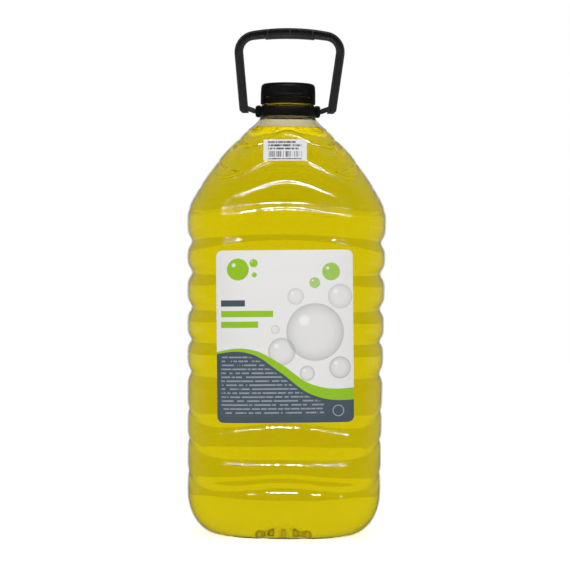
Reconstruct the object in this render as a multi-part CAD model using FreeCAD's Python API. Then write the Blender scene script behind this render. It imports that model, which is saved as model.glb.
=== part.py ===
# A five-litre clear bottle of yellow dish soap, with a screw cap, a tamper band and a carry handle.
# Millimetres. The origin is the middle of the foot, on the floor. +Z is up and the label faces -Y.

import FreeCAD
import Part
import math
import os

Vector = FreeCAD.Vector
up = Vector(0, 0, 1)

# Body: half-widths are taken at the middle of a face, on the crests of the ribs
foot_half_width = 46.0
base_height = 33.0
body_half_width_low = 72.6
body_half_width_high = 74.8
shoulder_base_height = 236.0
shoulder_height = 78.0
ledge_radius = 19.8
wall = 0.6

# Section: 2 is a circle, and more is squarer
foot_squareness = 2.3
body_squareness = 2.8
neck_squareness = 2.0

# Shoulder outline: share of the shoulder's height, then share of its width that is left
shoulder_outline = [
    (0.08, 0.992),
    (0.185, 0.94),
    (0.28, 0.867),
    (0.4, 0.763),
    (0.513, 0.652),
    (0.612, 0.553),
    (0.69, 0.456),
    (0.786, 0.325),
    (0.865, 0.205),
    (0.94, 0.082),
    (0.982, 0.03),
]

# Grooves round the body, bottom to top: mean height, how much higher the front and back are than
# the mean, how much higher the faces are than the corners, depth and half-width
body_grooves = [
    (39.8, -5.35, 3.75, 1.1, 3.2),
    (63.5, -7.15, 2.5, 1.5, 3.4),
    (86.8, -4.85, 4.0, 1.4, 3.2),
    (119.9, -1.5, 1.0, 2.5, 4.2),
    (144.8, -0.8, 0.8, 2.8, 3.8),
    (169.0, -1.0, 0.8, 3.2, 4.4),
    (195.4, -0.8, 0.6, 3.4, 4.6),
    (222.4, 2.8, 0.4, 3.2, 4.8),
]

# Steps round the shoulder: height at a face, drop to the corners and depth
shoulder_steps = [
    (244.2, 5.0, 0.5),
    (261.5, 15.1, 1.0),
    (280.7, 16.6, 1.5),
    (297.8, 10.3, 1.5),
]
step_reach_above = 4.2
step_reach_below = 2.0

# Underside: a domed push-up and channels that run out through the foot
dome_radius = 38.0
dome_height = 16.0
channel_count = 10
channel_radius = 5.0
channel_axis_height = -0.5
channel_start = 25.0
channel_end = 68.0

# Soap
liquid_level = 306.0
liquid_gap = 0.2

# Neck finish
neck_radius = 17.5
finish_radius = 17.2
bore_radius = 15.5
ring_radius = 19.9
ring_thickness = 1.4
neck_below_ring = 8.0
finish_above_ring = 13.7
bead_radius = 18.3
bead_above_ring = 3.5

# Cap, liner and tamper band
cap_outer_radius = 20.7
cap_taper = 0.3
cap_wall = 1.8
cap_top_thickness = 1.3
cap_crown = 0.7
cap_corner_radius = 3.0
liner_radius = 17.9
liner_thickness = 1.0
liner_gap = 0.05
score_gap = 0.4
band_height = 4.3
band_clearance = 0.4
band_lip = 1.0

# Carry handle: the collar under the support ring
collar_clearance = 0.3
collar_wall = 4.1
ear_reach = 24.5
ear_half_width = 4.2
ear_rise = 1.2
ear_rounding = 2.0

# Carry handle: the bail and its hinge pins
hinge_above_ledge = 4.8
pin_radius = 1.6
pin_clearance = 0.25
pin_length = 3.3
strap_thickness = 3.6
strap_half_width = 3.6
strap_rise = 1.9
arm_width = 6.7
bail_depth = 9.0
bail_drop = 1.3
bail_rise = 62.6
elbow_half_width = 36.3
bail_half_width = 43.1
arch_rise = 5.8
inner_arch_rise = 3.0
grip_thickness = 6.8
grip_pad_half_length = 18.5
grip_pad_thickness = 0.7
bail_outer_radius = 16.0
bail_inner_radius = 8.5
elbow_cut = 2.0
rim_width = 1.4
web_thickness = 2.2
grip_rib_spacing = 17.0
grip_rib_width = 1.2

# Label on the front and price sticker on the shoulder
label_width = 98.6
label_low = 87.0
label_high = 213.6
label_corner = 4.5
label_thickness = 0.15
sheet_gap = 0.15
sticker_width = 32.0
sticker_low = 279.0
sticker_high = 295.5
sticker_corner = 0.8
sticker_thickness = 0.12

# Fineness of the body's surface
angle_steps = 60
base_rows = 12
body_row_spacing = 2.7
shoulder_rows = 44

# Heights that follow from the sizes above
ledge_height = shoulder_base_height + shoulder_height
ring_underside = ledge_height + neck_below_ring
ring_top = ring_underside + ring_thickness
finish_base = ring_top + 0.4
rim_height = ring_top + finish_above_ring
band_bottom = ring_top + 2 * band_clearance
band_top = band_bottom + band_height
cap_bottom = band_top + score_gap
cap_ceiling = rim_height + liner_thickness + liner_gap
hinge_height = ledge_height + hinge_above_ledge


def crest_half_width(height):
    """Half-width of the straight part of the body, which widens a little towards the top."""
    share = (height - base_height) / (shoulder_base_height - base_height)
    return body_half_width_low + share * (body_half_width_high - body_half_width_low)


def base_outline():
    """The rounded base, with more points near the foot, where it curves most."""
    points = []
    for row in range(base_rows):
        height_share = (row / base_rows) ** 2
        width_share = (1 - (1 - height_share) ** 2) ** 0.46
        width = foot_half_width + width_share * (body_half_width_low - foot_half_width)
        points.append((width, height_share * base_height))
    return points


def body_outline():
    rows = round((shoulder_base_height - base_height) / body_row_spacing)
    step = (shoulder_base_height - base_height) / rows
    return [(crest_half_width(base_height + row * step), base_height + row * step) for row in range(rows)]


def shoulder_points():
    """A smooth curve through the shoulder's outline, ending level on the ledge under the collar."""
    span = body_half_width_high - ledge_radius
    knots = [Vector(body_half_width_high, 0, shoulder_base_height)]
    for height_share, width_share in shoulder_outline:
        height = shoulder_base_height + shoulder_height * height_share
        knots.append(Vector(ledge_radius + span * width_share, 0, height))
    knots.append(Vector(ledge_radius, 0, ledge_height))
    curve = Part.BSplineCurve()
    curve.interpolate(Points=knots, InitialTangent=up, FinalTangent=Vector(-1, 0, 0))
    points = curve.discretize(shoulder_rows)
    return [(point.x, point.z) for point in points]


def side_outline(inset):
    """The outline from the foot to the ledge, moved in by inset at right angles to itself."""
    outline = base_outline() + body_outline() + shoulder_points()
    moved = []
    for row, (width, height) in enumerate(outline):
        if row == 0:
            out, rise = 0.0, -1.0
        elif row == len(outline) - 1:
            out, rise = 0.0, 1.0
        else:
            run = outline[row + 1][0] - outline[row - 1][0]
            climb = outline[row + 1][1] - outline[row - 1][1]
            length = math.hypot(run, climb)
            out, rise = climb / length, -run / length
        moved.append((width - inset * out, height - inset * rise))
    return moved


def squareness(height):
    if height < base_height:
        share = math.sin(math.pi / 2 * max(height, 0) / base_height)
        return foot_squareness + share * (body_squareness - foot_squareness)
    share = min(max((height - shoulder_base_height) / shoulder_height, 0), 1)
    return body_squareness + share * share * (3 - 2 * share) * (neck_squareness - body_squareness)


def relief(angle, height):
    """How far the grooves and steps lie below the smooth body. The angle is 0 at the front."""
    depth = 0.0
    for mean, front_rise, face_rise, groove_depth, half_width in body_grooves:
        line = mean + front_rise * math.cos(2 * angle) + face_rise * math.cos(4 * angle)
        depth += groove_depth * math.exp(-(((height - line) / half_width) ** 2))
    for face_height, corner_drop, step_depth in shoulder_steps:
        line = face_height - corner_drop * (1 - math.cos(4 * angle)) / 2
        reach = step_reach_above if height > line else step_reach_below
        depth += step_depth * math.exp(-(((height - line) / reach) ** 2))
    return depth


def side_solid(inset):
    """The body as a solid block, with its surface moved in by inset."""
    poles = []
    for width, height in side_outline(inset):
        power = squareness(height)
        row = []
        for step in range(angle_steps):
            angle = 2 * math.pi * step / angle_steps
            across, along = math.sin(angle), math.cos(angle)
            section = (abs(across) ** power + abs(along) ** power) ** (-1 / power)
            radius = width * section - relief(angle, height)
            row.append(Vector(radius * across, -radius * along, height))
        poles.append(row)
    rows = len(poles)
    surface = Part.BSplineSurface()
    surface.buildFromPolesMultsKnots(
        poles,
        [4] + [1] * (rows - 4) + [4],
        [1] * (angle_steps + 1),
        [float(knot) for knot in range(rows - 2)],
        [float(knot) for knot in range(angle_steps + 1)],
        False,
        True,
        3,
        3,
    )
    side = surface.toShape()
    ends = [edge for edge in side.Edges if edge.BoundBox.ZLength < 1e-6]
    shell = Part.Shell([side] + [Part.Face(Part.Wire([edge])) for edge in ends])
    shell.sewShape()
    solid = Part.Solid(shell)
    if solid.Volume < 0:
        solid.reverse()
    return solid


def turned(points):
    """A solid of revolution about the Z axis from a closed outline of (radius, height) points."""
    corners = [Vector(radius, 0, height) for radius, height in points]
    face = Part.Face(Part.makePolygon(corners + corners[:1]))
    return face.revolve(Vector(0, 0, 0), up, 360)


def underside(grown):
    """The dome and the channels that are pressed up into the base, made larger all over by grown."""
    sphere_radius = (dome_radius**2 + dome_height**2) / (2 * dome_height)
    dome = Part.makeSphere(sphere_radius + grown, Vector(0, 0, dome_height - sphere_radius))
    channels = []
    for count in range(channel_count):
        angle = 2 * math.pi * (count + 0.5) / channel_count
        outward = Vector(math.sin(angle), -math.cos(angle), 0)
        start = outward * channel_start + up * channel_axis_height
        length = channel_end - channel_start
        channels.append(Part.makeCylinder(channel_radius + grown, length, start, outward))
    return dome.multiFuse(channels)


def make_bottle():
    """The blown part of the bottle, with an even wall, up to the ledge that its neck stands on."""
    mouth = Part.makeCylinder(bore_radius, 6, Vector(0, 0, ledge_height - 3))
    outside = side_solid(0).cut(underside(0))
    inside = side_solid(wall).cut(underside(wall)).fuse(mouth)
    return outside.cut(inside)


def make_bottle_neck():
    """The neck from the ledge up to its support ring."""
    return turned(
        [
            (bore_radius, ledge_height),
            (neck_radius, ledge_height),
            (neck_radius, ring_underside),
            (ring_radius - 0.3, ring_underside),
            (ring_radius, ring_underside + 0.3),
            (ring_radius, ring_top - 0.3),
            (ring_radius - 0.3, ring_top),
            (finish_radius, finish_base),
            (bore_radius, finish_base),
        ]
    )


def make_neck_finish():
    """The neck above its support ring, with the bead that holds the tamper band."""
    bead_low = ring_top + bead_above_ring
    return turned(
        [
            (bore_radius, finish_base),
            (finish_radius, finish_base),
            (finish_radius, bead_low - 0.4),
            (bead_radius, bead_low),
            (bead_radius, bead_low + 0.7),
            (finish_radius, bead_low + 1.6),
            (finish_radius, rim_height - 0.5),
            (finish_radius - 0.5, rim_height),
            (bore_radius, rim_height),
        ]
    )


def make_liquid_soap():
    """The soap fills the bottle up to its level, just clear of the wall."""
    inset = wall + liquid_gap
    reach = 2 * body_half_width_high
    above = Part.makeBox(2 * reach, 2 * reach, ledge_height, Vector(-reach, -reach, liquid_level))
    return side_solid(inset).cut(underside(inset)).cut(above)


def make_tamper_band():
    inner = cap_outer_radius - cap_wall
    lip_top = ring_top + bead_above_ring - 2 * band_clearance
    return turned(
        [
            (inner, band_bottom),
            (cap_outer_radius, band_bottom),
            (cap_outer_radius, band_top),
            (inner, band_top),
            (inner, lip_top),
            (inner - band_lip, lip_top),
            (inner - band_lip, lip_top - 0.5),
        ]
    )


def whole_cap():
    inner = cap_outer_radius - cap_wall
    top_radius = cap_outer_radius - cap_taper
    top = cap_ceiling + cap_top_thickness
    cap = turned(
        [
            (inner, cap_bottom),
            (cap_outer_radius, cap_bottom),
            (top_radius, top),
            (0, top + cap_crown),
            (0, cap_ceiling),
            (inner, cap_ceiling),
        ]
    )
    level = [edge for edge in cap.Edges if edge.BoundBox.ZLength < 1e-6]
    rim = [edge for edge in level if abs(edge.BoundBox.ZMax - top) < 1e-6]
    return cap.makeFillet(cap_corner_radius, rim)


def above_ceiling():
    reach = 2 * cap_outer_radius
    return Part.makeCylinder(reach, reach, up * cap_ceiling)


def make_cap():
    """The cap's skirt, up to the underside of its top."""
    return whole_cap().cut(above_ceiling())


def make_cap_top():
    """The cap's slightly domed top, moulded in one with the skirt on the real cap."""
    return whole_cap().common(above_ceiling())


def make_cap_liner():
    return Part.makeCylinder(liner_radius, liner_thickness, Vector(0, 0, rim_height))


def make_handle_collar():
    """The collar turns freely under the support ring, and its two ears hold the bail's pins."""
    inner = neck_radius + collar_clearance
    outer = inner + collar_wall
    bottom = ledge_height + collar_clearance
    height = neck_below_ring - 2 * collar_clearance
    ring = Part.makeCylinder(outer, height, Vector(0, 0, bottom))
    corner = Vector(-ear_reach, -ear_half_width, bottom)
    ears = Part.makeBox(2 * ear_reach, 2 * ear_half_width, height + ear_rise, corner)
    level = [edge for edge in ears.Edges if edge.BoundBox.YLength > ear_half_width]
    ears = ears.makeFillet(ear_rounding, level)
    hole = Part.makeCylinder(inner, 3 * height, Vector(0, 0, bottom - height))
    ring_space = Part.makeCylinder(ring_radius + 2 * collar_clearance, height, up * (bottom + height))
    collar = ring.fuse(ears).cut(hole).cut(ring_space)
    for side in (-1, 1):
        depth = pin_length + 2 * collar_clearance
        mouth = Vector(side * (ear_reach + 0.1), 0, hinge_height)
        bore = Part.makeCylinder(pin_radius + pin_clearance, depth, mouth, Vector(-side, 0, 0))
        collar = collar.cut(bore)
    return collar


def bail_block(bottom, low_half_width, high_half_width, corner_height, crown_height, radius, half_depth):
    """A block that widens upwards and ends in a shallow arch, with rounded top and cut lower corners."""
    slope = (high_half_width - low_half_width) / (corner_height - bottom)
    side_half_width = low_half_width + slope * elbow_cut
    foot_left = Vector(elbow_cut - low_half_width, -half_depth, bottom)
    foot_right = Vector(low_half_width - elbow_cut, -half_depth, bottom)
    low_left = Vector(-side_half_width, -half_depth, bottom + elbow_cut)
    low_right = Vector(side_half_width, -half_depth, bottom + elbow_cut)
    high_left = Vector(-high_half_width, -half_depth, corner_height)
    high_right = Vector(high_half_width, -half_depth, corner_height)
    arch = Part.Arc(high_left, Vector(0, -half_depth, crown_height), high_right).toShape()
    sides = [
        Part.makeLine(foot_left, low_left),
        Part.makeLine(low_left, high_left),
        arch,
        Part.makeLine(high_right, low_right),
        Part.makeLine(low_right, foot_right),
        Part.makeLine(foot_right, foot_left),
    ]
    block = Part.Face(Part.Wire(sides)).extrude(Vector(0, 2 * half_depth, 0))
    corners = [
        edge
        for edge in block.Edges
        if edge.BoundBox.YLength > half_depth
        and edge.BoundBox.ZLength < 1e-6
        and abs(edge.BoundBox.ZMax - corner_height) < 1e-6
    ]
    return block.makeFillet(radius, corners)


def bail_loop(inset, half_depth):
    """The upright loop, with its width narrowed all round by inset. Its open end is at the bottom."""
    elbow_bottom = hinge_height - bail_drop
    crown = elbow_bottom + bail_rise + bail_drop
    slope = (bail_half_width - elbow_half_width) / (crown - arch_rise - elbow_bottom)
    outside = bail_block(
        elbow_bottom + inset,
        elbow_half_width - inset,
        bail_half_width - inset,
        crown - arch_rise - inset,
        crown - inset,
        bail_outer_radius - inset,
        half_depth,
    )
    below = 10.0
    inner_crown = crown - grip_thickness
    inner_corner = inner_crown - inner_arch_rise
    inner_low = elbow_half_width - arm_width - below * slope
    inner_high = inner_low + slope * (inner_corner - elbow_bottom + below)
    inside = bail_block(
        elbow_bottom - below,
        inner_low + inset,
        inner_high + inset,
        inner_corner + inset,
        inner_crown + inset,
        bail_inner_radius + inset,
        half_depth,
    )
    return outside.cut(inside)


def make_handle_bail():
    """The bail: a loop of channel section, with a thicker grip, ribs in the grip, straps and pins."""
    half_depth = bail_depth / 2
    bail = bail_loop(0, half_depth)
    elbow_bottom = hinge_height - bail_drop
    crown = elbow_bottom + bail_rise + bail_drop
    pad_length = 2 * grip_pad_half_length
    corner = Vector(-grip_pad_half_length, -half_depth, crown - 2 * grip_thickness)
    under_grip = Part.makeBox(pad_length, bail_depth, 2 * grip_thickness, corner)
    pad = bail.translated(Vector(0, 0, -grip_pad_thickness)).common(under_grip)
    recess = bail_loop(rim_width, half_depth)
    corner = Vector(-bail_half_width, -web_thickness / 2, elbow_bottom)
    web = Part.makeBox(2 * bail_half_width, web_thickness, 2 * bail_rise, corner)
    recess = recess.cut(web)
    for place in (-1, 0, 1):
        left = place * grip_rib_spacing - grip_rib_width / 2
        corner = Vector(left, -half_depth, crown - 2 * grip_thickness)
        recess = recess.cut(Part.makeBox(grip_rib_width, bail_depth, 3 * grip_thickness, corner))
    bail = bail.fuse(pad).cut(recess)
    strap_start = ear_reach + collar_clearance
    strap_end = elbow_half_width - arm_width + rim_width / 2
    half_strap = strap_thickness / 2
    for side in (-1, 1):
        corners = [
            Vector(side * strap_start, -strap_half_width, hinge_height - half_strap),
            Vector(side * strap_start, -strap_half_width, hinge_height + half_strap),
            Vector(side * strap_end, -strap_half_width, hinge_height + strap_rise + half_strap),
            Vector(side * strap_end, -strap_half_width, hinge_height + strap_rise - half_strap),
        ]
        end = Part.Face(Part.makePolygon(corners + corners[:1]))
        strap = end.extrude(Vector(0, 2 * strap_half_width, 0))
        pin_start = Vector(side * (strap_start + half_strap), 0, hinge_height)
        pin = Part.makeCylinder(pin_radius, pin_length + half_strap, pin_start, Vector(-side, 0, 0))
        bail = bail.fuse(strap).fuse(pin)
    return bail.removeSplitter()


def half_width_at(height):
    """Half-width of the smooth body at a height, between the rows of its outline."""
    outline = side_outline(0)
    for (low_width, low), (high_width, high) in zip(outline, outline[1:]):
        if low <= height <= high:
            return low_width + (high_width - low_width) * (height - low) / (high - low)
    return outline[-1][0]


def front_sheet(width, low, high, corner, thickness):
    """A thin sheet stuck to the front of the body, bridging its grooves, with rounded corners."""
    across_steps, up_steps = 16, 8
    margin = 1.0
    points = []
    for row in range(up_steps + 1):
        height = low - margin + (high - low + 2 * margin) * row / up_steps
        reach = half_width_at(height) + sheet_gap
        power = squareness(height)
        line = []
        for step in range(across_steps + 1):
            across = (width + 2 * margin) * (step / across_steps - 0.5)
            forward = (reach**power - abs(across) ** power) ** (1 / power)
            line.append(Vector(across, -forward, height))
        points.append(line)
    surface = Part.BSplineSurface()
    surface.interpolate(points)
    sheet = surface.toShape().extrude(Vector(0, -thickness, 0))
    reach = 2 * body_half_width_high
    frame = Part.makeBox(width, reach, high - low, Vector(-width / 2, -reach, low))
    frame = frame.makeFillet(corner, [edge for edge in frame.Edges if edge.BoundBox.YLength > corner])
    return sheet.common(frame)


def make_label():
    return front_sheet(label_width, label_low, label_high, label_corner, label_thickness)


def make_price_sticker():
    return front_sheet(sticker_width, sticker_low, sticker_high, sticker_corner, sticker_thickness)


pieces = {
    "bottle": make_bottle,
    "bottle_neck": make_bottle_neck,
    "neck_finish": make_neck_finish,
    "liquid_soap": make_liquid_soap,
    "label": make_label,
    "price_sticker": make_price_sticker,
    "tamper_band": make_tamper_band,
    "cap": make_cap,
    "cap_top": make_cap_top,
    "cap_liner": make_cap_liner,
    "handle_collar": make_handle_collar,
    "handle_bail": make_handle_bail,
}

os.makedirs("parts", exist_ok=True)
for name, make in pieces.items():
    shape = make()
    print(name, "solids", len(shape.Solids), "valid", shape.isValid(), "cm3", round(shape.Volume / 1000, 3))
    shape.exportStep("parts/" + name + ".step")
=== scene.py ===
import bpy
import bmesh
import math
import numpy as np
from mathutils import Matrix, Vector


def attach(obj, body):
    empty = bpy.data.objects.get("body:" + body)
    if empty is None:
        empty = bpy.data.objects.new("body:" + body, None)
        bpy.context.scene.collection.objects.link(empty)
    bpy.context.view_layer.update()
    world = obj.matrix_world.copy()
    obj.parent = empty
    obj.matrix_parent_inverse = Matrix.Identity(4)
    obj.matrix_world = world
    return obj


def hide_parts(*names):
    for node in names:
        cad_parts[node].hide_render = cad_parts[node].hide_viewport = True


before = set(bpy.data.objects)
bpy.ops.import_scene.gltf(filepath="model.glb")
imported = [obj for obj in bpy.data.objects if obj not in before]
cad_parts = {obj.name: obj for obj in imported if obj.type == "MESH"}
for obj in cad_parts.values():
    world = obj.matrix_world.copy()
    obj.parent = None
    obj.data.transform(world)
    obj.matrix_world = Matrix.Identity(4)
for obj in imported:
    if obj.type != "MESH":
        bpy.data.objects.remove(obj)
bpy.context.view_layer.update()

mm = 0.001
print("frame loaded")


def smoothMax(a, b, blend):
    # the larger of two heights, with the corner between them rounded off
    return 0.5 * (a + b + np.sqrt((a - b) ** 2 + blend ** 2))


def ease(share):
    share = np.clip(share, 0, 1)
    return share * share * (3 - 2 * share)


def finishMesh(name, points, faces, material, sharpAngle=40, uv=None):
    # points in millimetres, faces as lists of corner numbers, uv as one pair for each point
    mesh = bpy.data.meshes.new(name)
    mesh.from_pydata((np.asarray(points) * mm).tolist(), [], faces)
    if uv is not None:
        layer = mesh.uv_layers.new(name="pattern")
        corners = np.zeros(len(mesh.loops), dtype=np.int32)
        mesh.loops.foreach_get("vertex_index", corners)
        layer.data.foreach_set("uv", np.asarray(uv, dtype=np.float32)[corners].ravel())
    mesh.validate()
    mesh.polygons.foreach_set("use_smooth", np.ones(len(mesh.polygons), dtype=bool))
    mesh.set_sharp_from_angle(angle=math.radians(sharpAngle))
    mesh.update()
    obj = bpy.data.objects.new(name, mesh)
    bpy.context.scene.collection.objects.link(obj)
    for entry in material if isinstance(material, (list, tuple)) else [material]:
        mesh.materials.append(entry)
    return obj


def gridFaces(rows, columns, around=True, along=False, start=0):
    # four-cornered faces between neighbouring rows and columns; around joins the last column to the first
    row = np.arange(rows if along else rows - 1)
    column = np.arange(columns if around else columns - 1)
    r, c = np.meshgrid(row, column, indexing="ij")
    nextRow, nextColumn = (r + 1) % rows, (c + 1) % columns
    low, high = r * columns, nextRow * columns
    quads = np.stack([low + c, low + nextColumn, high + nextColumn, high + c], -1)
    return quads.reshape(-1, 4) + start


def closedSkin(grid, lowPole=None, highPole=None):
    # a grid of rows by columns, closed at its first and last row by a fan of triangles to a pole
    rows, columns = grid.shape[:2]
    points = grid.reshape(-1, 3)
    faces = gridFaces(rows, columns).tolist()
    ring = np.arange(columns)
    after = (ring + 1) % columns
    if lowPole is not None:
        pole = len(points)
        points = np.vstack([points, [lowPole]])
        faces += np.stack([np.full(columns, pole), after, ring], -1).tolist()
    if highPole is not None:
        pole = len(points)
        points = np.vstack([points, [highPole]])
        last = (rows - 1) * columns
        faces += np.stack([np.full(columns, pole), ring + last, after + last], -1).tolist()
    return points, faces


def turnedGrid(profile, columns):
    # profile points (radius, height) carried round the upright axis
    angle = np.linspace(0, 2 * np.pi, columns, endpoint=False)
    profile = np.asarray(profile, dtype=float)
    radius, height = profile[:, :1], profile[:, 1:]
    return np.stack([radius * np.sin(angle), -radius * np.cos(angle), height + 0 * angle], -1)


def roundedProfile(corners, steps=4):
    # corners as (radius, height, rounding): each is replaced by a short curve that starts and ends
    # the rounding's length away from it, a weighted mean of the corner and its two neighbours
    points = []
    for index, (x, z, rounding) in enumerate(corners):
        here = np.array([x, z])
        if rounding == 0 or index in (0, len(corners) - 1):
            points.append(here)
            continue
        before = np.array(corners[index - 1][:2]) - here
        after = np.array(corners[index + 1][:2]) - here
        start = here + before / np.linalg.norm(before) * rounding
        end = here + after / np.linalg.norm(after) * rounding
        share = np.linspace(0, 1, steps + 1)[:, None]
        points.extend(start * (1 - share) ** 2 + here * 2 * share * (1 - share) + end * share ** 2)
    return np.array(points)


def newMaterial(name):
    material = bpy.data.materials.new(name)
    material.use_nodes = True
    material.node_tree.nodes.clear()
    output = material.node_tree.nodes.new("ShaderNodeOutputMaterial")
    return material, material.node_tree, output


def addNode(tree, kind, inputs=None, **settings):
    # inputs holds a value or an output socket for each input, by its name or number
    node = tree.nodes.new("ShaderNode" + kind)
    for key, value in settings.items():
        setattr(node, key, value)
    for key, value in (inputs or {}).items():
        if isinstance(value, bpy.types.NodeSocket):
            tree.links.new(value, node.inputs[key])
        else:
            node.inputs[key].default_value = value
    return node


def calc(tree, operation, *values):
    # one Math node, which takes numbers or outputs
    node = addNode(tree, "Math", dict(enumerate(values)), operation=operation)
    return node.outputs[0]


def mixColour(tree, share, first, second):
    node = tree.nodes.new("ShaderNodeMix")
    node.data_type = "RGBA"
    for socket, value in ((node.inputs[0], share), (node.inputs[6], first), (node.inputs[7], second)):
        if isinstance(value, bpy.types.NodeSocket):
            tree.links.new(value, socket)
        else:
            socket.default_value = value
    return node.outputs[2]


def colour(red, green, blue):
    # a colour as seen on the screen, 0 to 255, as the linear values that nodes take
    share = np.array([red, green, blue]) / 255
    linear = np.where(share <= 0.04045, share / 12.92, ((share + 0.055) / 1.055) ** 2.4)
    return (*[float(value) for value in linear], 1.0)


# the bottle's shape is the one of the CAD part, in millimetres
body = {
    "footHalfWidth": 46.0,
    "baseHeight": 33.0,
    "halfWidthLow": 72.58,
    "halfWidthHigh": 74.73,
    "shoulderBase": 236.0,
    "shoulderHeight": 78.0,
    "ledgeRadius": 19.8,
    "wall": 0.6,
    "footSquareness": 2.3,
    "bodySquareness": 2.8,
    "neckSquareness": 2.0,
    # share of the shoulder's height, share of its width that is left
    "shoulderOutline": [
        (0.08, 0.992), (0.185, 0.94), (0.28, 0.867), (0.4, 0.763), (0.513, 0.652), (0.612, 0.553),
        (0.69, 0.456), (0.786, 0.325), (0.865, 0.205), (0.94, 0.082), (0.982, 0.03),
    ],
    # mean height, rise at front and back, rise at the faces, depth, half-width
    "grooves": [
        (39.8, -5.35, 3.75, 1.7, 2.6), (63.5, -7.15, 2.5, 1.8, 2.8), (86.8, -4.85, 4.0, 1.7, 2.7),
        (119.9, -1.5, 1.0, 2.5, 4.2), (144.8, -0.8, 0.8, 2.8, 3.8), (169.0, -1.0, 0.8, 3.2, 4.4),
        (195.4, -0.8, 0.6, 3.4, 4.6), (222.4, 2.8, 0.4, 3.2, 4.8),
    ],
    # height at a face, drop to the corners, depth
    "steps": [(244.2, 5.0, 0.5), (261.5, 15.1, 1.05), (280.7, 16.6, 1.9), (297.8, 10.3, 2.1)],
    "frontShare": 0.4,        # of the deep grooves' depth, in the middle of the front and back
    "stepReachAbove": 1.9,
    "stepReachBelow": 1.45,
    "domeHeight": 16.0,
    "undersideSettle": 0.32,  # taken off again, as the blends' roundings lift the underside
    "channels": 10,
    "channelHeight": 3.4,
    "channelHalfWidth": 4.0,
    "coneRadius": 41.0,
    "coneTopRadius": 25.0,
    "coneHeight": 12.5,
}

neck = {
    "outerRadius": 17.5,
    "finishRadius": 17.2,
    "boreRadius": 15.5,
    "ringRadius": 19.9,
    "ringLow": 322.0,
    "ringHigh": 323.4,
    "beadRadius": 18.3,
    "beadLow": 326.9,
    "rim": 337.1,
}

soap = {
    "gap": 0.15,          # clear of the bottle's inner wall
    "level": 306.0,
    "meniscus": 0.9,      # how much the surface lies lower away from the wall
    "columns": 200,
    "undersideRows": 24,
    "baseRows": 18,
    "bodyRows": 120,
    "shoulderRows": 96,
}


def clampedSpline(knots, startSlope, endSlope, samples):
    # a cubic curve through the knots, with chord length as its parameter and given slopes at its ends:
    # the slopes at the inner knots come from making the second derivative continuous
    knots = np.asarray(knots, dtype=float)
    gap = np.linalg.norm(np.diff(knots, axis=0), axis=1)
    count = len(knots)
    matrix = np.zeros((count, count))
    right = np.zeros((count, 2))
    matrix[0, 0] = matrix[-1, -1] = 1
    right[0], right[-1] = startSlope, endSlope
    inner = np.arange(1, count - 1)
    matrix[inner, inner - 1] = gap[1:]
    matrix[inner, inner] = 2 * (gap[:-1] + gap[1:])
    matrix[inner, inner + 1] = gap[:-1]
    rise = np.diff(knots, axis=0) / gap[:, None]
    right[1:-1] = 3 * (rise[:-1] * gap[1:, None] + rise[1:] * gap[:-1, None])
    slope = np.linalg.solve(matrix, right)
    place = np.concatenate([[0], np.cumsum(gap)])
    along = np.linspace(0, place[-1], samples)
    span = np.clip(np.searchsorted(place, along, side="right") - 1, 0, count - 2)
    t = ((along - place[span]) / gap[span])[:, None]
    h = gap[span][:, None]
    return (
        knots[span] * (2 * t ** 3 - 3 * t ** 2 + 1)
        + slope[span] * h * (t ** 3 - 2 * t ** 2 + t)
        + knots[span + 1] * (3 * t ** 2 - 2 * t ** 3)
        + slope[span + 1] * h * (t ** 3 - t ** 2)
    )


def sideOutline(inset, baseRows, bodyRows, shoulderRows):
    # (half-width, height) from the foot to the ledge, moved in by inset at right angles to itself
    share = (np.arange(baseRows) / baseRows) ** 2
    widthShare = (1 - (1 - share) ** 2) ** 0.46
    base = np.stack([
        body["footHalfWidth"] + widthShare * (body["halfWidthLow"] - body["footHalfWidth"]),
        share * body["baseHeight"],
    ], -1)
    share = np.arange(bodyRows) / bodyRows
    straight = np.stack([
        body["halfWidthLow"] + share * (body["halfWidthHigh"] - body["halfWidthLow"]),
        body["baseHeight"] + share * (body["shoulderBase"] - body["baseHeight"]),
    ], -1)
    span = body["halfWidthHigh"] - body["ledgeRadius"]
    knots = [(body["halfWidthHigh"], body["shoulderBase"])]
    for heightShare, widthLeft in body["shoulderOutline"]:
        height = body["shoulderBase"] + body["shoulderHeight"] * heightShare
        knots.append((body["ledgeRadius"] + span * widthLeft, height))
    knots.append((body["ledgeRadius"], body["shoulderBase"] + body["shoulderHeight"]))
    outline = np.vstack([base, straight, clampedSpline(knots, (0, 1), (-1, 0), shoulderRows)])
    run = np.zeros_like(outline)
    run[1:-1] = outline[2:] - outline[:-2]
    out = np.stack([run[:, 1], -run[:, 0]], -1)
    out[0], out[-1] = (0, -1), (0, 1)
    out /= np.linalg.norm(out, axis=1)[:, None]
    return outline - inset * out


def squareness(height):
    foot = body["footSquareness"] + np.sin(np.pi / 2 * np.clip(height / body["baseHeight"], 0, 1)) * (
        body["bodySquareness"] - body["footSquareness"])
    share = ease((height - body["shoulderBase"]) / body["shoulderHeight"])
    upper = body["bodySquareness"] + share * (body["neckSquareness"] - body["bodySquareness"])
    return np.where(height < body["baseHeight"], foot, upper)


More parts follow.
